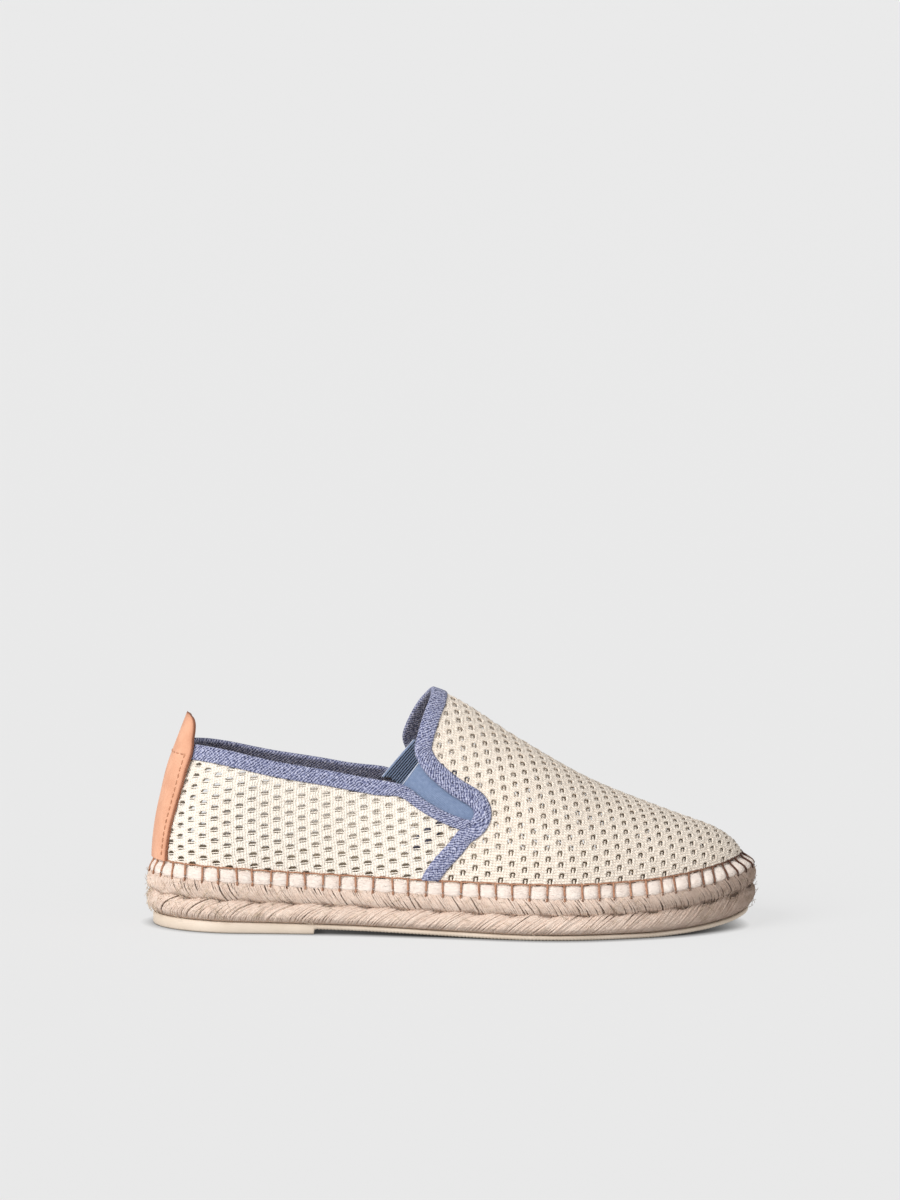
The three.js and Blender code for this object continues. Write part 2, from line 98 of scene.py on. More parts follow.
# Details that only the scene has
NET = 0.95
EYE_ACROSS = 5.65
EYE_UP = 5.12
NET_GRAIN = 8.0  # degrees that the quarters' net is turned by
NET_HEM = 1.2  # how far the net runs on under the band
BLANKET_STITCH = 8.0
SOLE_RIB = 1.6
STRANDS_IN_LOBE = 23
UPPER_STRAND = 0.46
STRAY_FIBRES = 520
HALVINGS = 22

# Camera of the photograph
PHOTO_WIDTH, PHOTO_HEIGHT = 900, 1200
AZIMUTH, ELEVATION, ROLL = 7.0, 8.0, 1.3
DISTANCE = 3000.0
PIXEL = 0.465  # millimetres at that distance
AIM_HEIGHT = 45
AIM_PIXEL = (455.5, 828.0)


def curve(*rows):
    """Smooth reading of listed rows (share, value) that never swings past them."""
    at, value = np.array(rows, float).T
    secant = np.diff(value) / np.diff(at)
    slope = np.zeros(len(at))
    slope[0], slope[-1] = secant[0], secant[-1]
    for i in range(1, len(at) - 1):
        if secant[i - 1] * secant[i] > 0:
            slope[i] = 2 * secant[i - 1] * secant[i] / (secant[i - 1] + secant[i])

    def read(share):
        x = np.clip(share, at[0], at[-1])
        i = np.clip(np.searchsorted(at, x) - 1, 0, len(at) - 2)
        span = at[i + 1] - at[i]
        t = (x - at[i]) / span
        ease = t * t * (3 - 2 * t)
        lead = t * (1 - t) ** 2 * span * slope[i]
        trail = t * t * (t - 1) * span * slope[i + 1]
        return value[i] + (value[i + 1] - value[i]) * ease + lead + trail

    return read


half_width = curve(
    (0, 0.335), (0.14, 0.34), (0.3, 0.35), (0.45, 0.395),
    (0.6, 0.475), (0.7, 0.5), (0.82, 0.5), (1, 0.48),
)
centre_line = curve(
    (0, 0), (0.14, 0), (0.3, -0.015), (0.45, -0.035),
    (0.6, -0.035), (0.7, -0.01), (0.82, 0.035), (1, 0.09),
)
sole_rise = curve(
    (0, 1.22), (0.12, 1.175), (0.3, 1.075), (0.5, 1.015),
    (0.65, 1), (0.78, 1.03), (0.9, 1.155), (1, 1.36),
)
foot_inset = curve(
    (0, 1.03), (0.12, 0.93), (0.3, 0.9), (0.5, 1),
    (0.65, 1.07), (0.78, 1.2), (0.9, 1.6), (1, 2.2),
)
pad_lift = curve((0, 1.1), (0.12, 0.97), (0.27, 0.75), (0.4, 0.45), (0.5, 0.15), (0.6, 0), (1, 0))
toe_lift = curve((0, 0), (0.8, 0), (0.85, 0.08), (0.9, 0.24), (0.95, 0.52), (1, 1))
ridge_height = curve(
    (0.18, 1.13), (0.35, 1.11), (0.47, 0.985), (0.6, 0.63),
    (0.72, 0.318), (0.82, 0.125), (0.89, 0),
)
ridge_centre = curve(
    (0.18, 0), (0.35, 0), (0.47, 0), (0.6, 0.005),
    (0.72, 0.02), (0.82, 0.045), (0.89, 0.065),
)
ridge_power = curve(
    (0.18, 1.09), (0.35, 1.03), (0.47, 0.98), (0.6, 1.02),
    (0.72, 1.12), (0.82, 1.22), (0.89, 1.32),
)
braid_inset = curve(
    (0, 1), (0.08, 0.375), (0.27, 0), (BRAID_JOINT - 0.09, 0.165), (BRAID_JOINT, 0.54),
    (BRAID_JOINT + 0.09, 0.21), (BRAID_JOINT + 0.25, 0.04), (1, 0.29),
)


def mix(a, b, share):
    return a + (b - a) * share


def smooth(low, high, value):
    """0 below low, 1 above high, eased between."""
    t = np.clip((value - low) / (high - low), 0, 1)
    return t * t * (3 - 2 * t)


def sole_top(x):
    return SOLE_HEIGHT * sole_rise(x / LENGTH)


def sheet_underside(x):
    return PAD_RISE * pad_lift(x / LENGTH) + TOE_SPRING * toe_lift(x / LENGTH)


def jute_underside(x):
    return sheet_underside(x) + TREAD + GAP


def upper_inset(s):
    return UPPER_INSET * foot_inset(s)


def plan(s, side, inset):
    """Point (x, y) of the plan at a station, set in from the jute's edge. side is -1 on the outer side."""
    heel = np.sqrt(1 - (1 - np.clip(s / HEEL_ROUND, 0, 1)) ** 2)
    u = np.clip((s - (1 - TOE_ROUND)) / TOE_ROUND, 0, 1)
    share = heel * (1 - u ** TOE_POWER) ** (1 / TOE_POWER)
    first, last = inset(0.0), inset(1.0)
    x = first + s * (LENGTH - last - first)
    return x, BALL * centre_line(s) + side * (BALL * half_width(s) - inset(s)) * share


def last_point(s, side, theta, out=0.0):
    """Point of the upper's form, grown by out: theta 0 at the sole, a right angle on the ridge."""
    foot_x, foot_y = plan(s, side, lambda t: upper_inset(t) - out)
    at = mix(0.18, 0.89, s)
    top = mix(TOE_HEIGHT, INSTEP, ridge_height(at)) + out
    power = ridge_power(at)
    spread = np.clip(np.cos(theta), 0, 1) ** power
    rise = np.sin(theta) ** power
    low = sole_top(foot_x) + GAP
    x = mix(at * LENGTH, foot_x, spread)
    y = mix(BALL * ridge_centre(at), foot_y, spread)
    return np.stack(np.broadcast_arrays(x, y, mix(low, top, rise)), -1)


# The model's origin is the middle of its box, on the floor
rubber_edge = plan(np.linspace(0, 1, 2001), -1, lambda t: RUBBER_INSET)[1]
SHIFT = np.array([LENGTH / 2, rubber_edge.min() - 1000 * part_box("outsole")[0].y, 0.0])


def laid(points):
    """Points in the part's millimetres as points of the model in metres."""
    return (np.asarray(points, float) - SHIFT) / 1000


def spline(rows, steps=24):
    """Line through listed points, seen from the side."""
    p = np.array(rows, float)
    ends = np.vstack([p[:1], p, p[-1:]])
    t = np.linspace(0, 1, steps, endpoint=False)[:, None]
    pieces = []
    for a, b, c, d in zip(ends, ends[1:], ends[2:], ends[3:]):
        lead, trail = (c - a) / 2, (d - b) / 2
        cubic = (2 * b - 2 * c + lead + trail) * t ** 3 + (3 * c - 3 * b - 2 * lead - trail) * t ** 2
        pieces.append(cubic + lead * t + b)
    return np.vstack([*pieces, p[-1:]])


def run_of(points):
    """Distance run along a line of points."""
    return np.concatenate([[0], np.cumsum(np.linalg.norm(np.diff(points, axis=0), axis=1))])


def eased(line, reach):
    """A side-view line with its corners rounded over a reach, in steps of half a millimetre."""
    run = run_of(line)
    steps = np.arange(0, run[-1], 0.5)
    even = np.stack([np.interp(steps, run, line[:, k]) for k in (0, 1)], -1)
    half = int(reach)
    kernel = np.hanning(2 * half + 3)[1:-1]
    kernel /= kernel.sum()
    wide = np.pad(even, ((half, half), (0, 0)), mode="reflect", reflect_type="odd")
    return np.stack([np.convolve(wide[:, k], kernel, mode="valid") for k in (0, 1)], -1)


def moved(line, distance):
    """A side-view line moved to the right of its direction."""
    heading = np.gradient(line, axis=0)
    heading /= np.linalg.norm(heading, axis=1)[:, None]
    return eased(line + distance * np.stack([heading[:, 1], -heading[:, 0]], -1), 5)


mouth_height = GORE_MOUTH * INSTEP
collar_line = eased(spline(
    [(at * LENGTH, mix(mouth_height, COLLAR_HEIGHT, rise)) for at, rise in COLLAR]
    + [(at * LENGTH, height * INSTEP) for at, height in GORE_EDGE]
), 14)
vamp_line = eased(spline([(at * LENGTH, height * INSTEP) for at, height in VAMP_EDGE]), 5)
mouth_foot = np.array([COLLAR[-1][0] * LENGTH, mouth_height])
mouth_head = np.array([GORE_TOP[0] * LENGTH, GORE_TOP[1] * INSTEP])


@functools.lru_cache(None)
def collar_moved(into):
    return moved(collar_line, into)


@functools.lru_cache(None)
def vamp_moved(into):
    return moved(vamp_line, -into)[::-1]


def collar_z(x, side, into=0.0):
    """Height of the collar's line, moved down into the cloth.

    The collar has slackened a little, most on the inner side, and its tape narrows past the gores' mouths.
    """
    edge, line = collar_moved(0.0), collar_moved(into)
    edge_z = np.interp(x, np.maximum.accumulate(edge[:, 0]), edge[:, 1])
    line_z = np.interp(x, np.maximum.accumulate(line[:, 0]), line[:, 1])
    narrowed = mix(1.0, COLLAR_NARROWED, smooth(100, 116, x))
    slack = 1.0 + 0.9 * (side > 0) * smooth(8, 40, x)
    return mix(edge_z, line_z, narrowed) - slack * smooth(118, 92, x)


def vamp_x(z, into=0.0):
    """Distance from the heel of the vamp's line, moved forward into the vamp."""
    line = vamp_moved(into)
    return np.interp(z, np.maximum.accumulate(line[:, 1]), line[:, 0])


def halve(like, low, high, beyond):
    """Value between low and high where beyond(value) turns true, for a whole array like another."""
    low, high = np.full_like(like, low), np.full_like(like, high)
    for _ in range(HALVINGS):
        middle = (low + high) / 2
        past = beyond(middle)
        low, high = np.where(past, low, middle), np.where(past, middle, high)
    return (low + high) / 2


def on_collar(s, side, into):
    """theta at which the line of a station crosses the collar's line."""
    def beyond(theta):
        p = last_point(s, side, theta)
        return p[..., 2] > collar_z(p[..., 0], side, into)
    return halve(s, 0.0, math.pi / 2, beyond)


def on_vamp(theta, side, into):
    """Station at which a line of equal theta crosses the vamp's line."""
    def beyond(s):
        p = last_point(s, side, theta)
        return p[..., 0] > vamp_x(p[..., 2], into)
    return halve(theta, 0.2, 0.8, beyond)


# Cloth laid on the last

class Cloth:
    """Cloth laid on the last: lines across it, each read by its own length, at places along it."""

    def __init__(self, along, lines, steps=260):
        self.along = along
        run = np.zeros(lines.shape[:2])
        run[:, 1:] = np.cumsum(np.linalg.norm(np.diff(lines, axis=1), axis=2), axis=1)
        self.length = run[:, -1]
        share = np.linspace(0, 1, steps + 1)
        self.points = np.array([
            [np.interp(share, r / max(r[-1], 1e-6), line[:, k]) for k in range(3)]
            for r, line in zip(run, lines)
        ]).transpose(0, 2, 1)
        self.steps = steps

    def place(self, p, q):
        """Points at p along the shoe and q up from the sole. Past either foot they run straight down."""
        i = np.interp(p, self.along, np.arange(len(self.along)))
        i0 = np.minimum(i.astype(int), len(self.along) - 2)
        f = (i - i0)[..., None]
        length = mix(self.length[i0], self.length[i0 + 1], f[..., 0])
        j = np.clip(q / length, 0, 1) * self.steps
        j0 = np.minimum(j.astype(int), self.steps - 1)
        g = (j - j0)[..., None]
        near = mix(self.points[i0, j0], self.points[i0, j0 + 1], g)
        far = mix(self.points[i0 + 1, j0], self.points[i0 + 1, j0 + 1], g)
        found = mix(near, far, f)
        found[..., 2] += np.minimum(q, 0) - np.maximum(q - length, 0)
        return found


def quarter_cloth(side):
    """Lines up one side of the shoe, from the heel to past the vamp's edge."""
    s = np.linspace(0, 1, 260) ** 2 * 0.62
    theta = np.linspace(0, 1.45, 90)
    lines = last_point(s[:, None], side, theta[None, :])
    return Cloth(run_of(lines[:, 25]), lines)


def vamp_cloth():
    """Sections across the whole vamp, from the outer foot over the ridge to the inner foot."""
    x = np.concatenate([np.linspace(104, 270, 240), np.linspace(270.5, 278.2, 40)])
    toe = last_point(np.ones(400), -1, np.linspace(math.pi / 2, 0, 400))
    top = np.where(x < toe[0, 0], math.pi / 2, np.interp(x, toe[:, 0], np.linspace(math.pi / 2, 0, 400)))
    theta = np.linspace(0, 1, 80)[None, :] * top[:, None]
    sides = []
    for side in (-1, 1):
        def beyond(s):
            return last_point(s, side, theta)[..., 0] > x[:, None]
        sides.append(last_point(halve(theta, 0.0, 1.0, beyond), side, theta))
    lines = np.concatenate([sides[0], sides[1][:, -2::-1]], axis=1)
    return Cloth((x + run_of(lines[:, 0])) / 2, lines)


# Meshes

def grid(columns, rows):
    """A flat grid of quads, and the column and row of each vertex."""
    bm = bmesh.new()
    bmesh.ops.create_grid(bm, x_segments=columns, y_segments=rows, size=0.5)
    flat = np.array([v.co[:2] for v in bm.verts])
    low, high = flat.min(0), flat.max(0)
    index = np.rint((flat - low) / (high - low) * [columns, rows]).astype(int)
    return bm, index[:, 0], index[:, 1]


def shape(bm, points, uv=None):
    """Moves a mesh's vertices to points in the part's millimetres, with an own map in millimetres."""
    for v, point in zip(bm.verts, laid(points)):
        v.co = point
    if uv is not None:
        layer = bm.loops.layers.uv.verify()
        bm.verts.index_update()
        for face in bm.faces:
            for loop in face.loops:
                loop[layer].uv = uv[loop.vert.index]
    bm.normal_update()


def raised(bm, heights):
    """Moves vertices along their normals, heights in millimetres."""
    bm.normal_update()
    normals = [v.normal.copy() for v in bm.verts]
    for v, normal, height in zip(bm.verts, normals, heights):
        v.co += normal * (height / 1000)


def drop_faces(bm, unwanted):
    bmesh.ops.delete(bm, geom=[f for f, no in zip(bm.faces, unwanted) if no], context="FACES")


def face_corners(bm):
    """Indices of the four corners of each face of a grid."""
    bm.verts.index_update()
    return np.array([[v.index for v in f.verts] for f in bm.faces])


def face_mean(bm, values):
    """Mean of per-vertex rows of values over each face of a grid."""
    return values[face_corners(bm)].mean(1)


def piece(name, bm, finish, stands_for=(), wall=0.0, offset=-1.0, inner=None):
    """The mesh as a finished piece that rides on the shoe."""
    mesh = bpy.data.meshes.new(name)
    bm.to_mesh(mesh)
    bm.free()
    obj = bpy.data.objects.new(name, mesh)
    bpy.context.scene.collection.objects.link(obj)
    for polygon in mesh.polygons:
        polygon.use_smooth = True
    obj.data.materials.append(finish)
    if inner is not None:
        obj.data.materials.append(inner)
    if wall:
        solid = obj.modifiers.new("wall", "SOLIDIFY")
        solid.thickness = wall / 1000
        solid.offset = offset
        if inner is not None:
            solid.material_offset = 1
    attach(obj, "root")
    if stands_for:
        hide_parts(*stands_for)
    return obj


def closed(bm, distance=1e-6):
    """Joins vertices that meet and turns the faces outward."""
    bmesh.ops.remove_doubles(bm, verts=bm.verts, dist=distance)
    bmesh.ops.recalc_face_normals(bm, faces=bm.faces)


# Finishes

class Finish:
    """A node material with a Principled shader."""

    def __init__(self, name, roughness=0.8, sheen=0.0, specular=0.5):
        self.material = bpy.data.materials.new(name)
        self.material.use_nodes = True
        self.nodes = self.material.node_tree.nodes
        self.links = self.material.node_tree.links
        self.shader = next(n for n in self.nodes if n.type == "BSDF_PRINCIPLED")
        self.shader.inputs["Roughness"].default_value = roughness
        self.shader.inputs["Specular IOR Level"].default_value = specular
        self.shader.inputs["Sheen Weight"].default_value = sheen
        self.place = self.node("ShaderNodeTexCoord")
        self.own = self.place.outputs["UV"]
        self.height = None

    def node(self, kind, inputs=(), **settings):
        made = self.nodes.new(kind)
        for key, value in settings.items():
            setattr(made, key, value)
        for key, value in dict(inputs).items():
            self.feed(made.inputs[key], value)
        return made

    def feed(self, socket, value):
        if isinstance(value, bpy.types.NodeSocket):
            self.links.new(value, socket)
        elif isinstance(value, bpy.types.Node):
            self.links.new(value.outputs[0], socket)
        else:
            socket.default_value = value

    def maths(self, operation, a, b):
        return self.node("ShaderNodeMath", {0: a, 1: b}, operation=operation).outputs[0]

    def plus(self, a, b):
        return self.maths("ADD", a, b)

    def times(self, a, b):
        return self.maths("MULTIPLY", a, b)

    def over(self, a, b):
        return self.maths("DIVIDE", a, b)

    def uv(self):
        """The own map of the piece, in millimetres, as two sockets."""
        parts = self.node("ShaderNodeSeparateXYZ", {0: self.own})
        return parts.outputs[0], parts.outputs[1]

    def waves(self, phase):
        """0 to 1 waves, one for each whole number of phase."""
        swing = self.maths("SINE", self.times(phase, 2 * math.pi), 0.0)
        return self.times(self.plus(swing, 1.0), 0.5)

    def noise(self, scale, detail=3.0, vector=None, stretch=None, turn=0.0, roughness=0.55):
        """Noise, drawn out by the two numbers of stretch after a turn in degrees."""
        vector = vector or self.place.outputs["Object"]
        if stretch is not None:
            drawn = {"Vector": vector, "Rotation": (0, 0, math.radians(turn)), "Scale": (*stretch, 1.0)}
            vector = self.node("ShaderNodeMapping", drawn, vector_type="TEXTURE").outputs[0]
        settings = {"Vector": vector, "Scale": scale, "Detail": detail, "Roughness": roughness}
        return self.node("ShaderNodeTexNoise", settings).outputs["Fac"]

    def ramp(self, value, *stops):
        made = self.node("ShaderNodeValToRGB", {0: value})
        elements = made.color_ramp.elements
        while len(elements) < len(stops):
            elements.new(0.5)
        for element, (position, colour) in zip(elements, stops):
            element.position = position
            element.color = (*colour, 1.0)
        return made.outputs[0]

    def mixed(self, share, a, b, blend="MIX"):
        made = self.node("ShaderNodeMix", data_type="RGBA", blend_type=blend)
        self.feed(made.inputs["Factor"], share)
        self.feed(made.inputs["A"], a if not isinstance(a, tuple) else (*a, 1.0))
        self.feed(made.inputs["B"], b if not isinstance(b, tuple) else (*b, 1.0))
        return made.outputs["Result"]

    def tinted(self, base, tint):
        return self.mixed(1.0, base, tint, "MULTIPLY")

    def relief(self, value, depth):
        """Bump of the given depth in millimetres, on top of the bumps before it."""
        made = self.node("ShaderNodeBump", {"Height": value, "Distance": depth / 1000, "Strength": 1.0})
        if self.height is not None:
            self.links.new(self.height, made.inputs["Normal"])
        self.height = made.outputs[0]
        self.links.new(self.height, self.shader.inputs["Normal"])

    def colour(self, socket):
        self.links.new(socket, self.shader.inputs["Base Color"])
        return self.material


def net_finish(name, upright, dark, middle, light):
    """Cream knit. The own map counts millimetres across and up the knit."""
    f = Finish(name, roughness=0.95, sheen=0.1, specular=0.2)
    u, v = f.uv()
    across, up = (u, v) if upright else (v, u)
    drift = f.times(f.noise(0.3, 2, vector=f.own), 1.5)
    ribs = f.waves(f.plus(f.over(up, EYE_UP / 4), drift))
    diagonal = f.over(f.plus(across, f.times(up, 0.9)), 1.41)
    slant = f.waves(f.plus(diagonal, drift))
    stitches = f.plus(f.times(ribs, 0.4), f.times(slant, 0.3))
    grain = f.noise(700, 2)
    knit = f.plus(stitches, f.times(grain, 0.4))
    f.relief(knit, 0.6)
    # the knit's tone follows its relief: partly its yarn pattern, and partly painted shade, darker in the
    # grooves
    base = f.ramp(knit, (0.1, dark), (0.36, middle), (0.7, light))
    shade = f.ramp(f.noise(45, 3), (0.3, (0.96, 0.945, 0.93)), (0.7, (1.0, 1.0, 1.0)))
    return f.colour(f.tinted(base, shade))


def twill_finish():
    """Blue tape in a loose broken twill, with lighter and darker yarns, and painted shade inside its fold.

    The own map runs along the tape, then across it over its finished edge, in millimetres.
    """
    f = Finish("twill_tape", roughness=0.88, sheen=0.15, specular=0.25)
    u, v = f.uv()
    drift = f.times(f.noise(0.5, 2, vector=f.own), 1.6)
    diagonal = f.over(f.plus(u, f.times(v, 0.9)), 1.5)
    ridge = f.waves(f.plus(diagonal, drift))
    yarns = f.noise(1.0, 1, vector=f.own, stretch=(2.0, 0.56), turn=38)
    picks = f.noise(1.0, 1, vector=f.own, stretch=(1.2, 0.5), turn=-40)
    weave = f.plus(f.times(ridge, 0.2), f.times(yarns, 0.55))
    weave = f.plus(weave, f.times(picks, 0.38))
    f.relief(weave, 1.0)
    base = f.ramp(
        weave, (0.4, (0.028, 0.03, 0.075)), (0.5, (0.14, 0.155, 0.285)), (0.58, (0.26, 0.28, 0.43)),
        (0.69, (0.56, 0.57, 0.73)),
    )
    # painted shade: the inner half of the tape's section, inside its fold, is multiplied darker
    inside = f.node("ShaderNodeMapRange", {0: v, 1: 8.0, 2: 9.2}, clamp=True).outputs[0]
    return f.colour(f.mixed(inside, base, f.tinted(base, (0.58, 0.56, 0.54))))


def elastic_finish(name, ribbed):
    """Blue elastic, ribbed where it is seen from inside."""
    f = Finish(name, roughness=0.75, sheen=0.15, specular=0.3)
    ribs = f.waves(f.over(f.uv()[0], 1.1 if ribbed else 0.6))
    if ribbed:
        f.relief(ribs, 0.5)
        base = f.ramp(ribs, (0.1, (0.075, 0.11, 0.19)), (0.8, (0.23, 0.3, 0.46)))
    else:
        f.relief(ribs, 0.1)
        f.relief(f.noise(1500, 2), 0.1)
        base = f.ramp(f.noise(700, 3), (0.3, (0.175, 0.24, 0.385)), (0.7, (0.235, 0.305, 0.46)))
    return f.colour(base)


def leather_finish():
    """Peach leather. The own map's second number is the distance from the strip's edge."""
    f = Finish("strip_leather", roughness=0.55, specular=0.35)
    inward = f.uv()[1]
    pores = f.node("ShaderNodeTexVoronoi", {"Vector": f.place.outputs["Object"], "Scale": 1300.0})
    f.relief(pores.outputs["Distance"], 0.1)
    f.relief(f.noise(240, 4), 0.35)
    base = f.ramp(f.noise(110, 4), (0.3, (0.68, 0.335, 0.205)), (0.7, (0.8, 0.43, 0.275)))
    edge = f.ramp(
        f.over(inward, 2.4), (0.0, (0.45, 0.33, 0.28)), (0.35, (0.88, 0.84, 0.82)), (1.0, (1.0, 1.0, 1.0)),
    )
    return f.colour(f.tinted(base, edge))


def cotton_finish():
    f = Finish("cotton_band", roughness=0.9, sheen=0.1, specular=0.2)
    up = f.uv()[1]
    f.relief(f.noise(1.0, 3, vector=f.own, stretch=(2.4, 0.6)), 0.6)
    f.relief(f.waves(f.over(up, 0.5)), 0.08)
    base = f.ramp(f.noise(260, 3), (0.3, (0.81, 0.68, 0.6)), (0.7, (0.93, 0.83, 0.75)))
    return f.colour(base)


def along_shoe(f, first, last):
    """0 to 1 between two places along the shoe, in metres from its middle."""
    x = f.node("ShaderNodeSeparateXYZ", {0: f.place.outputs["Object"]}).outputs[0]
    return f.node("ShaderNodeMapRange", {0: x, 1: first, 2: last}, clamp=True).outputs[0]


def thread_finish(name, dark, light, toe=(1.0, 1.0, 1.0)):
    """Twisted thread, its colour multiplied by another towards the toe as painted shade there."""
    f = Finish(name, roughness=0.8, sheen=0.1, specular=0.25)
    twist = f.noise(1100, 2)
    f.relief(twist, 0.12)
    base = f.ramp(twist, (0.3, dark), (0.7, light))
    # painted shade towards the toe: toe multiplies the thread's colour from 0.085 to 0.13 m along the shoe
    return f.colour(f.mixed(along_shoe(f, 0.085, 0.13), base, f.tinted(base, toe)))


def jute_finish(name, dark, middle, light):
    """Jute fibre, with painted shade darkening it towards the toe. The own map runs along a strand, then
    round it, in millimetres.
    """
    f = Finish(name, roughness=0.92, sheen=0.1, specular=0.2)
    fibres = f.noise(1.0, 4, vector=f.own, stretch=(2.2, 0.24), roughness=0.75)
    tufts = f.noise(190, 3)
    f.relief(fibres, 0.3)
    tone = f.plus(f.times(fibres, 0.8), f.times(tufts, 0.2))
    base = f.ramp(tone, (0.34, dark), (0.48, middle), (0.64, light))
    # painted shade: the jute is multiplied darker towards the toe, which faces away from the key light
    toe = f.tinted(base, (0.5, 0.46, 0.44))
    return f.colour(f.mixed(along_shoe(f, 0.06, 0.145), base, toe))


def rubber_finish():
    f = Finish("outsole_rubber", roughness=0.6, specular=0.35)
    f.relief(f.noise(900, 3), 0.06)
    base = f.ramp(f.noise(40, 4), (0.3, (0.64, 0.53, 0.42)), (0.7, (0.75, 0.64, 0.53)))
    return f.colour(base)


def linen_finish():
    f = Finish("insole_linen", roughness=0.95, specular=0.2)
    u, v = f.uv()
    weave = f.times(f.waves(f.over(u, 0.9)), f.waves(f.over(v, 0.9)))
    f.relief(weave, 0.2)
    return f.colour(f.ramp(weave, (0.0, (0.55, 0.46, 0.34)), (0.8, (0.78, 0.69, 0.55))))


# Net

def vamp_eye():
    """Vertices of one cell of the vamp's net (across, up, relief), and its slot, an arch round a tongue."""
    w, h = EYE_ACROSS / 2, EYE_UP / 2
    rim_slot_tongue = [
        (1.75, 0.95, 0.32), (1.85, 1.0, 0.4), (1.95, 0.95, 0.45), (2.1, 1.2, 0.42), (1.95, 0.9, 0.32),
        (1.85, 1.0, 0.35), (1.75, 0.95, 0.32),
    ]
    across = np.array([[-w, -a, -b, -c, c, b, a, w] for a, b, c in rim_slot_tongue]).T
    even = np.linspace(-h, h, 7)
    inner = np.array([-h, -1.95, -1.2, 0.65, 1.3, 1.95, h])
    half = [even, mix(even, inner, 0.6), inner, inner]
    up = np.array(half + half[::-1])
    half = [
        [-0.18] * 7,
        [-0.1, 0.1, 0.3, 0.34, 0.34, 0.2, -0.1],
        [-0.1, 0.16, 0.1, 0.1, 0.16, 0.4, -0.1],
        [-0.14, 0.12, -0.1, -0.22, 0.0, 0.45, -0.14],
    ]
    relief = np.array(half + half[::-1])
    slant = 0.2
    across = across + slant * up * (np.abs(across) < w - 0.1)
    return across, up, relief, [(2, 2), (4, 2), (2, 3), (3, 3), (4, 3)]


def quarter_eye():
    """The same for the quarters, whose slots lie flat: a deep arch above, a thin slot below."""
    w, h = EYE_ACROSS / 2, EYE_UP / 2
    even = np.linspace(-h, h, 9)
    wide = np.array([-h, -1.7, -1.0, -0.55, -0.35, -0.1, 1.15, 1.85, h])
    end = np.array([-h, -1.6, -0.75, -0.6, -0.35, -0.1, 0.5, 1.5, h])
    up = np.array([even, end, wide, wide, end, even])
    across = np.tile(np.array([-w, -1.9, -0.95, 0.95, 1.9, w])[:, None], (1, 9))
    side = [-0.1, 0.1, 0.2, 0.26, 0.26, 0.26, 0.28, 0.3, -0.1]
    middle = [-0.1, 0.2, 0.1, -0.1, -0.12, -0.1, 0.16, 0.45, -0.1]
    relief = np.array([[-0.18] * 9, side, middle, middle, side, [-0.18] * 9])
    return across, up, relief, [(i, j) for i in (1, 2, 3) for j in (2, 5)]


def net_grid(cell, columns, rows):
    """Grid of net cells, neighbours half a cell apart: mesh, places, relief, and which faces are slots."""
    across, up, relief, slots = cell
    wide, high = across.shape[0] - 1, across.shape[1] - 1
    bm, i, j = grid(columns * wide, rows * high)
    shift = (i // wide % 2) * (high // 2)
    ci, cj = i % wide, (j - shift) % high
    column, row = i // wide, (j - shift) // high
    local = np.stack([across[ci, cj], up[ci, cj]], -1)
    p = (column + 0.5) * EYE_ACROSS + local[:, 0]
    q = (row + 0.5) * EYE_UP + local[:, 1] + shift * EYE_UP / high
    slot = np.zeros((wide, high), bool)
    for a, b in slots:
        slot[a, b] = True
    corners = face_corners(bm)
    fi, fj = i[corners].min(1), j[corners].min(1)
    fshift = (fi // wide % 2) * (high // 2)
    return bm, p, q, relief[ci, cj], slot[fi % wide, (fj - fshift) % high]


def net_piece(name, cell, columns, rows, place, wanted, finish, flip=False, stands_for=()):
    """Net laid on the last by place(p, q), kept where wanted(x, z, p, q) says, in the part's millimetres."""
    bm, p, q, relief, hole = net_grid(cell, columns, rows)
    own = np.stack([p, q], -1)
    points, p, q = place(p, q)
    shape(bm, points, own)
    mean = face_mean(bm, np.column_stack([points[:, 0], points[:, 2], p, q]))
    layer = bm.verts.layers.float.new("relief")
    for v, height in zip(bm.verts, relief):
        v[layer] = height
    drop_faces(bm, hole | ~wanted(*mean.T))
    if flip:
        bmesh.ops.reverse_faces(bm, faces=bm.faces)
    raised(bm, [v[layer] for v in bm.verts])
    piece(name, bm, finish, stands_for, wall=NET)


def make_net():
    cloth = vamp_cloth()
    start = cloth.along[0] + 1
    finish = net_finish("net_vamp", True, (0.68, 0.54, 0.43), (0.88, 0.765, 0.645), (0.97, 0.885, 0.78))

    def place_vamp(p, q):
        q = q - 3.5
        p = start + p - 0.08 * q
        return cloth.place(p, q), p, q

    def on_vamp_side(x, z, p, q):
        length = np.interp(p, cloth.along, cloth.length)
        ahead = x > vamp_x(z) + 2.6
        return ahead & (p < cloth.along[-1]) & (q > -NET_HEM) & (q < length + NET_HEM)

    columns = int((cloth.along[-1] - start + 24) / EYE_ACROSS)
    rows = int((cloth.length.max() + 10) / EYE_UP)
    net_piece("net_vamp", vamp_eye(), columns, rows, place_vamp, on_vamp_side, finish, stands_for=("upper",))

    grain = math.radians(NET_GRAIN)
    finish = net_finish("net_quarter", False, (0.74, 0.63, 0.51), (0.9, 0.81, 0.695), (0.97, 0.905, 0.82))
    for side, name in ((-1, "net_quarter_outer"), (1, "net_quarter_inner")):
        quarter = quarter_cloth(side)

        def place_quarter(p, q):
            p, q = p - 14, q - 24
            p, q = p * math.cos(grain) - q * math.sin(grain), p * math.sin(grain) + q * math.cos(grain)
            return quarter.place(p, q), p, q

        def on_quarter(x, z, p, q):
            under_tapes = (z < collar_z(x, side) - 2.2) & (x < vamp_x(z) + 2.2)
            return (p > 0.2) & (q > -NET_HEM) & under_tapes & (x < 150)

        net_piece(name, quarter_eye(), 30, 18, place_quarter, on_quarter, finish, flip=side > 0)


# Bindings

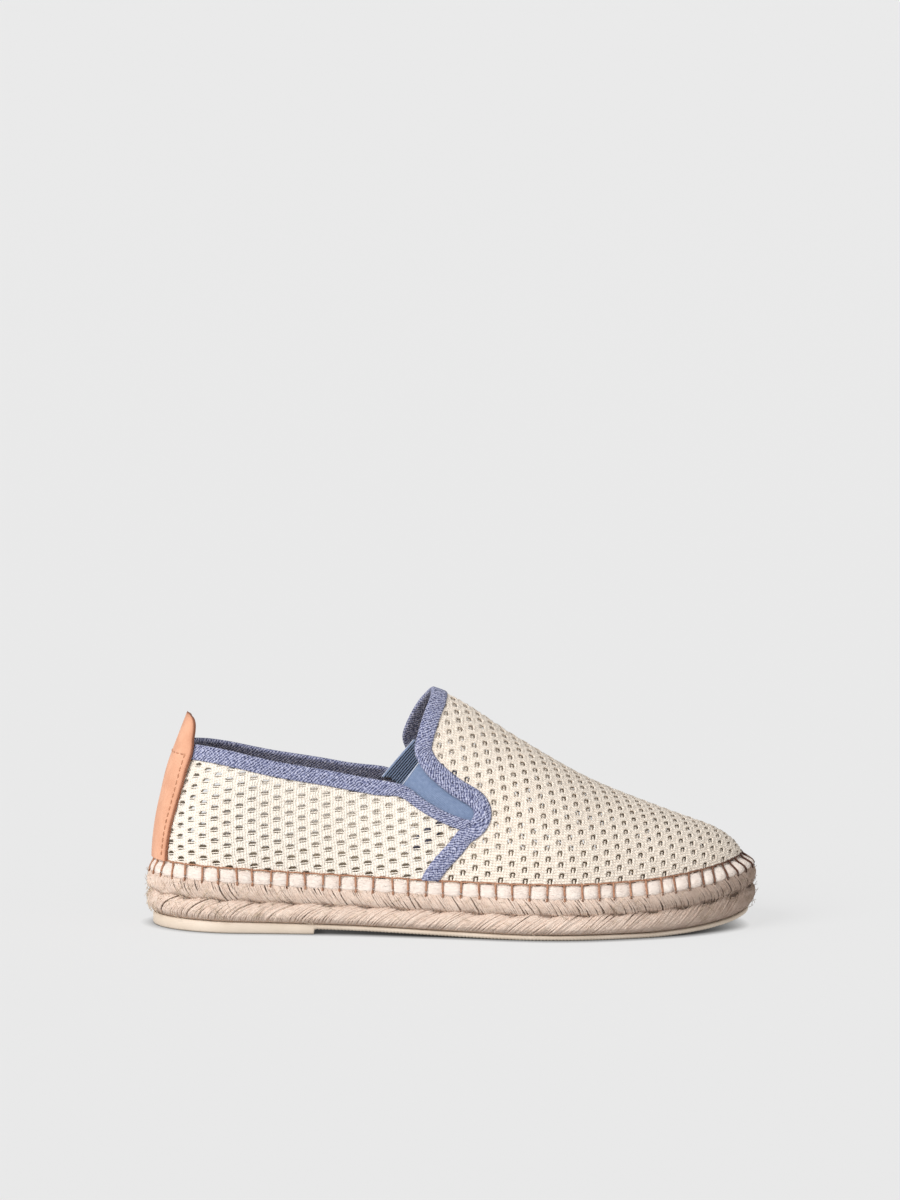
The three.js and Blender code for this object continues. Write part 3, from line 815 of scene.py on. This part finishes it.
def tape_profile(width):
    """Section of a folded tape: distance in from the finished edge, and height over the cloth."""
    return [
        (width, 0.3), (width - 0.5, 0.62), (width - 1.7, 0.74), (width * 0.5, 0.78), (1.7, 0.76), (0.8, 0.7),
        (0.25, 0.35), (0.0, -0.4), (0.25, -1.15), (0.8, -1.5), (1.7, -1.55), (width * 0.5, -1.5),
        (width - 0.6, -1.4), (width, -1.25),
    ]


def tape_piece(name, width, count, point, finish, keep=None, stands_for=()):
    """Folded tape: point(into, out) gives its line of count points, moved into the cloth and out of it."""
    profile = tape_profile(width)
    rows = np.array([point(into, out) for into, out in profile])
    bm, i, j = grid(count - 1, len(profile) - 1)
    base = point(0.0, 0.0)
    run, ahead = run_of(base), np.gradient(base, axis=0)
    ahead /= np.linalg.norm(ahead, axis=1)[:, None]
    over = run_of(profile)
    points = rows[j, i]
    near = np.array([np.argmin(np.sum((base - p) ** 2, axis=1)) for p in points])
    along = run[near] + np.sum((points - base[near]) * ahead[near], axis=1)
    shape(bm, points, np.stack([along, over[j]], -1))
    if keep is not None:
        drop_faces(bm, ~keep(face_mean(bm, points)))
    bmesh.ops.reverse_faces(bm, faces=bm.faces)
    piece(name, bm, finish, stands_for, wall=0.7, offset=0.0)


def make_bindings():
    """Tape round the collar as far as the gores' mouths, and tape round the vamp's edge down to both feet."""
    finish = twill_finish()
    g = np.linspace(-1, 1, 261)
    s, side = 0.52 * g ** 2, np.where(g < 0, -1.0, 1.0)

    def collar(into, out):
        return last_point(s, side, on_collar(s, side, into), out)

    def behind(mean):
        return mean[:, 0] < vamp_x(mean[:, 2]) + 2.5

    tape_piece("collar_tape", COLLAR_TAPE, len(g), collar, finish, behind, ("collar_binding",))
    arch = np.linspace(-1, 1, 201)
    theta, arch_side = (1 - np.abs(arch)) * math.pi / 2, np.where(arch < 0, -1.0, 1.0)

    def vamp(into, out):
        return last_point(on_vamp(theta, arch_side, into), arch_side, theta, out)

    tape_piece("vamp_tape", VAMP_TAPE, len(arch), vamp, finish, stands_for=("vamp_binding",))


def make_gores():
    """Elastic behind the cloth on each side, cut straight along its free edge."""
    smooth_face, ribbed_face = elastic_finish("elastic", False), elastic_finish("elastic_inside", True)
    along = (mouth_head - mouth_foot) / np.linalg.norm(mouth_head - mouth_foot)
    ahead = np.array([along[1], -along[0]])
    thread = thread_finish("gore_edge_thread", (0.45, 0.5, 0.62), (0.66, 0.7, 0.8))
    edge = GORE_SEAM + TAPE + GAP
    for side, name in ((-1, "outer"), (1, "inner")):
        bm, i, j = grid(70, 70)
        s, theta = mix(0.34, 0.58, i / 70), mix(0.2, 1.25, j / 70)
        points = last_point(s, side, theta, -WALL - GAP - GORE / 2)
        flat = points[:, [0, 2]] - mouth_foot
        shape(bm, points, np.stack([flat @ ahead, flat @ along], -1))
        x, _, z = face_mean(bm, points).T
        drop_faces(bm, (z < collar_z(x, side, edge)) | (x > vamp_x(z, edge)))
        corner, facing = Vector(laid([mouth_foot[0], 0, mouth_foot[1]])), Vector((ahead[0], 0, ahead[1]))
        whole = bm.verts[:] + bm.edges[:] + bm.faces[:]
        bmesh.ops.bisect_plane(bm, geom=whole, plane_co=corner, plane_no=facing, clear_inner=True)
        if side > 0:
            bmesh.ops.reverse_faces(bm, faces=bm.faces)
        cut = [v.co for v in bm.verts if abs((v.co - corner).dot(facing)) < 1e-6]
        path = np.array(sorted(cut, key=lambda co: co.z)) * 1000 + SHIFT
        path += np.array([0, side * (GORE / 2 + 0.12), 0]) - np.array([0.3, 0, 0])
        strands_piece(f"elastic_{name}_edge", [path], 0.26, 6, thread, 0.8)
        replaced = (f"gore_{name}_side",)
        piece(f"elastic_{name}", bm, smooth_face, replaced, GORE, offset=0.0, inner=ribbed_face)


def make_strip():
    """Leather strip up the heel with its tab, and its stitches."""
    tape_foot = COLLAR_HEIGHT - COLLAR_TAPE
    bottom, tip = 30.2, 96.8
    bend = tape_foot - 1.5

    half_at = curve(
        (30, 15.2), (45, 15.6), (58, 16.1), (66, 16.0), (72, 15.5), (79, 14.7), (83, 13.6), (86.5, 12.3),
        (90, 11.2), (93, 9.8), (95, 8.1), (96.2, 5.8), (96.8, 1.8),
    )

    def on_heel(y, z, out):
        """Point of the last at a width and height, seen from behind."""
        side = np.where(y < 0, -1.0, 1.0)

        def theta_at(s):
            def above(theta):
                return last_point(s, side, theta)[..., 2] > z
            return halve(s, 0.0, 1.5, above)

        def beyond(s):
            return np.abs(last_point(s, side, theta_at(s))[..., 1]) > np.abs(y)

        s = halve(y, 0.0, 0.2, beyond)
        return last_point(s, side, theta_at(s), out)

    def heel_point(y, z, out):
        """Point of the heel at a width and height. Above the bend the tab runs straight on."""
        point = on_heel(y, np.minimum(z, bend), out)
        rise = 6
        head, foot = (on_heel(y, np.full_like(y, level), 0.0) for level in (bend, bend - rise))
        slope = (head - foot)[..., 0] / rise
        above = np.maximum(z - bend, 0)
        point[..., 0] += slope * above
        point[..., 2] += above
        return point

    def lift(z):
        """How far the strip lies off the last: over the net, then over the tape."""
        return mix(GAP + 0.15, TAPE + 2 * GAP + 0.25, smooth(tape_foot - 22, tape_foot + 0.5, z))

    bm, i, j = grid(20, 56)
    z = mix(bottom, tip, 1 - (1 - j / 56) ** 1.25)
    y = half_at(z) * np.sin((i / 10 - 1) * math.pi / 2)
    points = heel_point(y, z, lift(z))
    inward = half_at(z) - np.abs(y)
    shape(bm, points, np.stack([z, np.minimum(inward, tip - z)], -1))
    bmesh.ops.reverse_faces(bm, faces=bm.faces)
    closed(bm)
    strip = piece("leather_strip", bm, leather_finish(), ("heel_strip",), STRIP, offset=1.0)
    bevel = strip.modifiers.new("worn edge", "BEVEL")
    bevel.width = 0.0004
    bevel.segments = 2
    bevel.angle_limit = math.radians(50)

    # stitches up both edges, then a row across under the tab: places of each one's four points
    stitch, margin = 2.1, 2.3
    step = np.linspace(0, 1, 4)
    climb = 33.5 + 2.9 * np.arange(16)[:, None] + stitch * step
    row = 3.1 * (np.arange(8)[:, None] - 3.5) + stitch * (step - 0.5)
    across = np.concatenate([margin - half_at(climb), half_at(climb) - margin, row])
    height = np.concatenate([climb, climb, np.full_like(row, tape_foot - 0.6)])
    stitches = heel_point(across.ravel(), height.ravel(), lift(height.ravel()) + STRIP + 0.1)
    thread = thread_finish("strip_thread", (0.4, 0.18, 0.1), (0.58, 0.29, 0.17))
    strands_piece("strip_stitches", stitches.reshape(-1, 4, 3), 0.34, 6, thread, 0.25)


# Strands, threads and fibres

def strands_piece(name, paths, radius, sides, finish, tip):
    """Tubes along paths of the same number of points, each closed at both ends.

    radius is one for all or one for each, and tip the share of it at a tube's first and last ring.
    """
    paths = np.array(paths)
    count, steps = paths.shape[:2]
    thick = np.broadcast_to(radius, count)
    heading = np.gradient(paths, axis=1)
    heading /= np.linalg.norm(heading, axis=2, keepdims=True)
    flank = np.cross(heading, [0.0, 0.0, 1.0])
    steep = np.linalg.norm(flank, axis=2, keepdims=True) < 0.2
    flank = np.where(steep, np.cross(heading, [0.0, 1.0, 0.0]), flank)
    flank /= np.linalg.norm(flank, axis=2, keepdims=True)
    top = np.cross(flank, heading)
    run = np.zeros((count, steps))
    run[:, 1:] = np.cumsum(np.linalg.norm(np.diff(paths, axis=1), axis=2), axis=1)

    bm, i, j = grid(sides, count * (steps + 2) - 1)
    strand, row = np.divmod(j, steps + 2)
    k = np.clip(row - 1, 0, steps - 1)
    full = np.where((row == 1) | (row == steps), tip, 1.0)
    size = np.where((row == 0) | (row == steps + 1), 0.0, full) * thick[strand]
    angle = 2 * math.pi * (i % sides) / sides
    ring = np.cos(angle)[:, None] * flank[strand, k] + np.sin(angle)[:, None] * top[strand, k]
    across = i * 2 * math.pi * thick[strand] / sides + 7.3 * strand
    shape(bm, paths[strand, k] + ring * size[:, None], np.stack([run[strand, k] + 31.0 * strand, across], -1))
    owner = strand[face_corners(bm)]
    drop_faces(bm, owner.max(1) > owner.min(1))
    closed(bm, 2e-6)
    piece(name, bm, finish)


# Sole

# Stations close together at both ends, and the distance run along the jute's edge at each
STATIONS = (1 - np.cos(np.linspace(0, math.pi, 4001))) / 2
SOLE_RUN = run_of(np.stack(plan(STATIONS, -1, lambda t: 0.0), -1))
HALF_RUN = SOLE_RUN[-1]
WHOLE_RUN = 2 * HALF_RUN


def around(w):
    """Station and side at a distance round the sole: out along the outer side, back along the inner."""
    w = np.mod(w, WHOLE_RUN)
    side = np.where(w < HALF_RUN, -1.0, 1.0)
    run = np.where(w < HALF_RUN, w, WHOLE_RUN - w)
    return np.interp(run, SOLE_RUN, STATIONS), side


def braid_point(w, up, out):
    """Point of the jute's edge: distance round it, share of its height, distance out of it."""
    s, side = around(w)
    inset = EDGE_ROUND * braid_inset(up)
    x, y = plan(s, side, lambda t: inset - out)
    return np.stack([x, y, mix(jute_underside(x), sole_top(x) - BAND_HEIGHT - GAP, up)], -1)


def band_point(w, up, out):
    """Point of the cotton band: up is 0 at its foot and 1 at its head."""
    s, side = around(w)
    inward = smooth(0.1, 1.1, up)
    rear, front = upper_inset(0.0) - BAND_INSET, upper_inset(1.0) - BAND_INSET
    slip = inward * (rear - s * (rear + front)) / LENGTH
    s = s - slip * smooth(0.0, 0.06, s) * smooth(1.0, 0.9, s)
    x, y = plan(s, side, lambda t: mix(BAND_INSET, upper_inset(t), inward) - out)
    return np.stack([x, y, sole_top(x) - BAND_HEIGHT * (1 - up)], -1)


def ring_piece(name, steps, rows, point, high, finish, stands_for, wall):
    """Band round the sole, closed on itself: point(distance round it, share of its rows) for whole arrays.

    high is its height in its own map, in millimetres.
    """
    bm, i, j = grid(steps, rows)
    points, up = point(WHOLE_RUN * (i % steps) / steps, j / rows)
    shape(bm, points, np.stack([WHOLE_RUN * i / steps, up * high], -1))
    bmesh.ops.remove_doubles(bm, verts=bm.verts, dist=1e-6)
    piece(name, bm, finish, stands_for, wall=wall)


def make_band():
    """Cotton band, puffed between the blanket stitches, and their thread."""
    stitches = round(WHOLE_RUN / BLANKET_STITCH)
    pitch = WHOLE_RUN / stitches
    finish = cotton_finish()
    wobble = chance.uniform(-0.09, 0.09, stitches)
    swell = chance.uniform(0.75, 1.25, stitches)

    def stitch_at(k):
        return (k + wobble[k % stitches]) * pitch

    edges = np.array([stitch_at(k) for k in range(stitches)] + [stitch_at(0) + WHOLE_RUN])

    def puffed(w, up):
        w = np.mod(w - edges[0], WHOLE_RUN) + edges[0]
        k = np.clip(np.searchsorted(edges, w, side="right") - 1, 0, stitches - 1)
        t = (w - edges[k]) / (edges[k + 1] - edges[k]) * 2 - 1
        cushion = (1 - t ** 4) * np.sin(np.clip(up * 0.86 + 0.1, 0, 1) * math.pi) ** 0.6
        out = -0.7 + 1.4 * swell[k] * cushion - 0.25 * smooth(0.75, 1.0, up)
        points = band_point(w, up, out)
        points[:, 2] -= 0.45 * (1 - t ** 2) * smooth(0.35, 0.0, up)
        return points, up

    ring_piece(
        "cotton_edge_band", stitches * 8, 8, puffed, BAND_HEIGHT, finish, ("edge_band",), 0.8,
    )

    # blanket stitch: one leg down each joint of the band, and a thread along its head
    legs = []
    for k in range(stitches):
        w = edges[k] + chance.normal(0, 0.08)
        lean = chance.uniform(-0.5, 0.5)
        up = np.array([1.12, 1.1, 0.98, 0.8, 0.55, 0.3, 0.08, -0.1, -0.24])
        out = np.array([-0.5, 0.35, 0.55, 0.42, 0.35, 0.35, 0.5, 0.55, -0.3])
        legs.append(band_point(w + lean * (1 - up), up, out))
    heads = []
    for k in range(stitches):
        t = np.linspace(0, 1, 7)
        w = mix(edges[k], edges[k + 1], t)
        sag = 1.03 + 0.07 * np.sin(t * math.pi) + chance.normal(0, 0.012)
        heads.append(band_point(w, sag, 0.28 + 0.1 * np.sin(t * math.pi)))
    # painted shade: the blanket stitch's colour is multiplied by this dark tint towards the toe
    brown = thread_finish("stitch_thread", (0.3, 0.13, 0.07), (0.5, 0.27, 0.17), (0.2, 0.16, 0.16))
    strands_piece("blanket_stitch_legs", legs, 0.48, 7, brown, 0.8)
    strands_piece("blanket_stitch_heads", heads, 0.4, 6, brown, 0.85)


def make_braids():
    """Jute core, the strands of both rows of braid laid round it, and stray fibres."""
    core = jute_finish("jute_core", (0.42, 0.29, 0.21), (0.62, 0.46, 0.36), (0.74, 0.585, 0.47))

    def core_point(w, share):
        up = np.clip(share * 1.25, 0, 1)
        points = braid_point(w, up, -1.3)
        s, side = around(w)
        inside = np.clip((share - 0.8) / 0.2, 0, 1)
        x, y = plan(s, side, lambda t: mix(BAND_INSET + 1.2, upper_inset(t) + 1.5, inside))
        shoulder = np.stack([x, y, mix(sole_top(x) - BAND_HEIGHT - GAP, sole_top(x) - 0.4, inside)], -1)
        return np.where((share > 0.8)[:, None], shoulder, points), up

    ring_piece("jute_core", 480, 20, core_point, 20, core, ("jute_sole",), 6.0)

    lobes = round(WHOLE_RUN / LOBE_PITCH)
    pitch = WHOLE_RUN / lobes
    lower, thick = [], []
    for lobe in range(lobes):
        swell = chance.uniform(0.75, 1.2)
        for m in range(STRANDS_IN_LOBE):
            place = (m + 0.5) / STRANDS_IN_LOBE - 0.5
            t = np.linspace(0, 1, 8)
            bow = np.sin(t * math.pi)
            w = (lobe + place) * pitch + mix(-5.5, 7.0, t) + chance.normal(0, 0.3) + chance.normal(0, 0.8) * t
            joint = BRAID_JOINT + 0.055 * math.cos(2 * math.pi * place) + 0.015
            up = 0.05 + (joint - 0.05) * (t ** 0.8) + 0.05 * bow
            out = -1.2 + (1.35 * swell * (1 - 1.4 * place ** 2)) * bow ** 0.6 + chance.normal(0, 0.11)
            lower.append(braid_point(w, up, out))
            thick.append(0.5 + chance.uniform(-0.12, 0.16))
    strands = jute_finish("jute_strands", (0.5, 0.355, 0.275), (0.77, 0.6, 0.495), (0.92, 0.785, 0.68))
    strands_piece("jute_lower_braid", lower, thick, 6, strands, 0.7)

    upper, thick = [], []
    count = round(WHOLE_RUN / UPPER_STRAND)
    for k in range(count):
        w0 = WHOLE_RUN * k / count + chance.normal(0, 0.15)
        t = np.linspace(0, 1, 6)
        stitch = 2 * math.pi * w0 / BLANKET_STITCH
        gather = 0.9 * math.sin(stitch)
        w = w0 - 3.2 + (5.6 + chance.normal(0, 0.7)) * t + gather * (1 - t) ** 2 * 0.7
        up = 1.03 - (0.47 + 0.035 * math.cos(2 * math.pi * w0 / pitch)) * t
        swell = 1 + 0.35 * math.cos(stitch)
        out = -0.6 + 0.8 * np.sin(t * math.pi) ** 0.7 * swell + chance.normal(0, 0.09)
        upper.append(braid_point(w, up, out))
        thick.append(0.4 + chance.uniform(-0.1, 0.14))
    strands_piece("jute_upper_braid", upper, thick, 5, strands, 0.75)

    fibres = []
    for k in range(STRAY_FIBRES):
        if k % 3:
            w0 = chance.choice([0.0, HALF_RUN, WHOLE_RUN]) + chance.normal(0, 50)
        else:
            w0 = chance.uniform(0, WHOLE_RUN)
        t = np.linspace(0, 1, 5)
        reach = chance.uniform(3, 9)
        slope = chance.uniform(-1.2, 1.2)
        start = chance.uniform(0.12, 0.9)
        curl = chance.uniform(0.6, 2.2)
        up = np.clip(start + slope * 0.05 * reach * t, 0.03, 1.0)
        fibres.append(braid_point(w0 + reach * t * 0.7, up, 0.1 + curl * t ** 1.5))
    hair = jute_finish("jute_fibres", (0.6, 0.46, 0.33), (0.76, 0.62, 0.47), (0.9, 0.78, 0.63))
    strands_piece("jute_stray_fibres", fibres, 0.11, 3, hair, 0.8)


def loft(name, s, section, finish, stands_for):
    """Closed sections at stations along the shoe, drawn to a point at both ends."""
    rows = np.array([section.row(corner, s) for corner in section.corners])
    bm, i, j = grid(len(s) - 1, len(rows))
    placed = rows[j % len(rows), i]
    shape(bm, placed, placed[:, :2])
    closed(bm, 4e-6)
    piece(name, bm, finish, stands_for)


class Slab:
    """Section of a slab that fills the plan: across its underside, round its edges, back over its top.

    Each corner is a share of the way across, a further inset, and a level. lip and ball round the lower
    and upper edge.
    """

    def __init__(self, inset, under, top, lip, ball=0.5):
        across = np.linspace(0, 1, 9)
        edge = [(lip * 0.3, "low"), (0.0, "middle"), (0.0, "high"), (ball, "top")]
        self.corners = [(a, lip, "under") for a in across]
        self.corners += [(1.0, *corner) for corner in edge]
        self.corners += [(a, ball, "top") for a in across[-2:0:-1]]
        self.corners += [(0.0, *corner) for corner in edge[::-1]]
        self.inset, self.under, self.top, self.lip, self.ball = inset, under, top, lip, ball

    def row(self, corner, s):
        """One corner's points at every station."""
        share, extra, level = corner
        x, outer = plan(s, -1, lambda t: self.inset(t) + extra)
        inner = plan(s, 1, lambda t: self.inset(t) + extra)[1]
        under, top = self.under(x), self.top(x)
        heights = {
            "under": under, "low": under + 0.3 * self.lip, "middle": under + self.lip,
            "high": top - self.ball, "top": top,
        }
        return np.stack([x, mix(outer, inner, share), heights[level]], -1)


def make_outsole():
    """Rubber sheet with its heel pad, finely ribbed underneath ahead of the pad."""
    run = np.linspace(0, HALF_RUN, int(HALF_RUN / (SOLE_RIB / 4)))
    s = np.interp(run, SOLE_RUN, STATIONS)

    def under(x):
        ribs = 0.25 * (np.sin(2 * math.pi * x / SOLE_RIB) > 0) * smooth(PAD_LENGTH, PAD_LENGTH + 2, x)
        return np.where(x < PAD_LENGTH, 0.0, sheet_underside(x) + ribs)

    slab = Slab(lambda t: RUBBER_INSET + 0 * t, under, lambda x: sheet_underside(x) + TREAD, 0.9)
    loft("rubber_outsole", s, slab, rubber_finish(), ("outsole",))


def make_insole():
    s = np.interp(np.linspace(0, HALF_RUN, 300), SOLE_RUN, STATIONS)
    slab = Slab(
        lambda t: upper_inset(t) + WALL + 0.6,
        lambda x: sole_top(x) - GAP,
        lambda x: sole_top(x) + INSOLE,
        0.5,
    )
    loft("linen_insole", s, slab, linen_finish(), ("insole",))


# Studio

def make_camera():
    """Camera of the photograph: a long lens a little above the shoe, turned and rolled slightly.

    A point in the middle of the shoe, AIM_HEIGHT above the floor, falls on AIM_PIXEL.
    """
    azimuth, elevation, roll = (math.radians(v) for v in (AZIMUTH, ELEVATION, ROLL))
    ahead, aside = math.cos(azimuth), math.sin(azimuth)
    sight = Vector((aside * math.cos(elevation), ahead * math.cos(elevation), -math.sin(elevation)))
    right = Vector((ahead, -aside, 0))
    up = right.cross(sight)
    level = math.cos(roll) * right + math.sin(roll) * up
    upright = -math.sin(roll) * right + math.cos(roll) * up
    focal = DISTANCE / PIXEL
    off_x, off_y = (AIM_PIXEL[0] - PHOTO_WIDTH / 2) / focal, (AIM_PIXEL[1] - PHOTO_HEIGHT / 2) / focal
    axis = (sight - off_x * level + off_y * upright).normalized()
    across = (level - level.dot(axis) * axis).normalized()
    data = bpy.data.cameras.new("camera")
    camera = bpy.data.objects.new("camera", data)
    bpy.context.scene.collection.objects.link(camera)
    target = Vector(laid([LENGTH / 2, 0, AIM_HEIGHT]))
    turn = Matrix((across, (-axis).cross(across), -axis)).transposed()
    camera.matrix_world = Matrix.Translation(target - sight * DISTANCE / 1000) @ turn.to_4x4()
    data.sensor_width = 36.0
    data.lens = data.sensor_width * focal / PHOTO_HEIGHT
    data.clip_end = 400.0
    bpy.context.scene.camera = camera


def make_studio():
    """White world, two wide suns, and a pale floor that glows evenly, with a painted contact shadow where the
    sole touches it.

    The floor is one quad moved aside, so that the seam between its two triangles is out of sight.
    """
    scene = bpy.context.scene
    scene.view_settings.view_transform = "Standard"
    world = bpy.data.worlds.new("studio")
    world.use_nodes = True
    world.node_tree.nodes["Background"].inputs["Color"].default_value = (1.0, 1.0, 1.0, 1.0)
    world.node_tree.nodes["Background"].inputs["Strength"].default_value = 0.47
    scene.world = world
    for name, power, angle, turn in (
        ("key", 2.6, 35, (58, 0, -48)),
        ("fill", 0.25, 60, (58, 0, 40)),
    ):
        data = bpy.data.lights.new(name, "SUN")
        data.energy = power
        data.angle = math.radians(angle)
        light = bpy.data.objects.new(name, data)
        light.rotation_euler = [math.radians(v) for v in turn]
        scene.collection.objects.link(light)
    bm = bmesh.new()
    bmesh.ops.create_grid(bm, x_segments=1, y_segments=1, size=200, matrix=Matrix.Translation((130, 0, 0)))
    mesh = bpy.data.meshes.new("floor")
    bm.to_mesh(mesh)
    bm.free()
    floor = bpy.data.objects.new("floor", mesh)
    scene.collection.objects.link(floor)
    f = Finish("pale_floor", roughness=0.9, specular=0.1)
    f.shader.inputs["Base Color"].default_value = (0.15, 0.15, 0.15, 1)
    # painted contact shadow: ambient occlusion darkens the floor's glow under and round the sole
    painted_contact_shadow = f.node("ShaderNodeAmbientOcclusion", {"Distance": 0.0065}, samples=8)
    shade = f.maths("POWER", painted_contact_shadow.outputs["AO"], 1.2)
    f.links.new(f.mixed(shade, (0.0, 0.0, 0.0), (1.0, 1.0, 1.0)), f.shader.inputs["Emission Color"])
    f.shader.inputs["Emission Strength"].default_value = 0.662
    mesh.materials.append(f.material)


make_camera()
make_studio()
make_outsole()
make_braids()
make_band()
make_insole()
make_net()
make_bindings()
make_gores()
make_strip()
